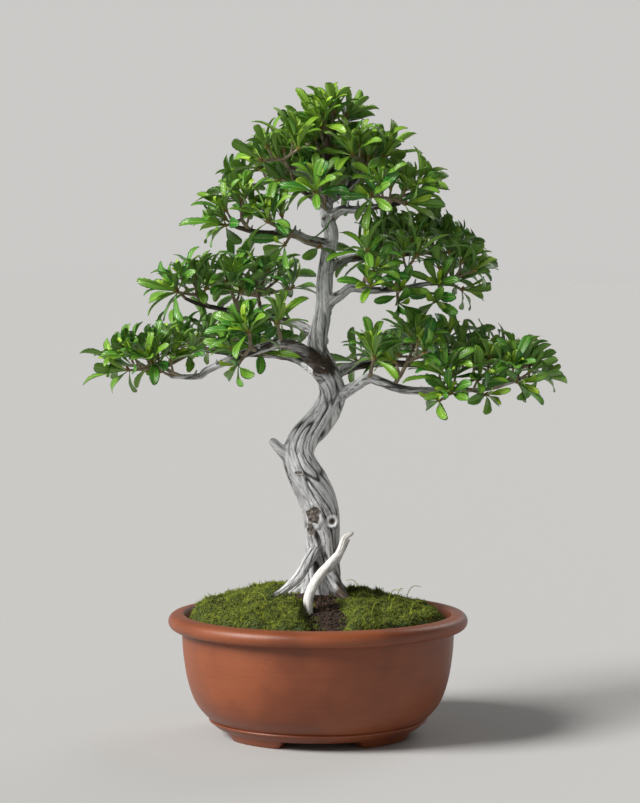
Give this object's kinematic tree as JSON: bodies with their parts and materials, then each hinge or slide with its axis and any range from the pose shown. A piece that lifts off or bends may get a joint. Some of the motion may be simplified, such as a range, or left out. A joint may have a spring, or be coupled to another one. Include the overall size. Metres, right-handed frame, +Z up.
{
  "type": "bonsai tree in a pot",
  "caption": "Bonsai tree with a twisting weathered trunk, layered pads of glossy leaf whorls and mossy soil, in a round footed clay pot.",
  "frame": {"origin": "centre of the whole object's box in plan, on the ground under the pot's feet", "axes": "+Z up along the trunk, -Y towards the viewer (the tree's front), +X to the viewer's right"},
  "size_m": [0.435, 0.2786, 0.586],
  "materials": {
    "clay": "unglazed fired clay, matt",
    "screen_plastic": "dark mesh plastic",
    "grit": "loose gravel",
    "soil": "damp crumbly soil",
    "moss": "living cushion moss",
    "bark": "silvered weathered bark and wood",
    "dead_wood": "bleached bare wood",
    "leaves": "waxy leaf, soft gloss"
  },
  "bodies": {
    "root": {"branch_back_left": "bark", "branch_back_mid": "bark", "branch_back_right": "bark", "branch_crown_back": "bark", "branch_crown_left": "bark", "branch_crown_left_high": "bark", "branch_crown_right_high": "bark", "branch_crown_right_low": "bark", "branch_left_low": "bark", "branch_left_mid": "bark", "branch_right_low": "bark", "branch_right_mid": "bark", "deadwood": "dead_wood", "drain_screen_left": "screen_plastic", "drain_screen_right": "screen_plastic", "drainage_grit": "grit", "moss_back": "moss", "moss_left": "moss", "moss_right": "moss", "pot": "clay", "shoot_01": "leaves", "shoot_02": "leaves", "shoot_03": "leaves", "shoot_04": "leaves", "shoot_05": "leaves", "shoot_06": "leaves", "shoot_07": "leaves", "shoot_08": "leaves", "shoot_09": "leaves", "shoot_10": "leaves", "shoot_11": "leaves", "shoot_12": "leaves", "shoot_13": "leaves", "shoot_14": "leaves", "shoot_15": "leaves", "shoot_16": "leaves", "shoot_17": "leaves", "shoot_18": "leaves", "shoot_19": "leaves", "shoot_20": "leaves", "shoot_21": "leaves", "shoot_22": "leaves", "shoot_23": "leaves", "shoot_24": "leaves", "shoot_25": "leaves", "shoot_26": "leaves", "shoot_27": "leaves", "shoot_28": "leaves", "shoot_29": "leaves", "shoot_30": "leaves", "shoot_31": "leaves", "shoot_32": "leaves", "shoot_33": "leaves", "shoot_34": "leaves", "soil": "soil", "trunk": "bark"}
  },
  "joints": []
}
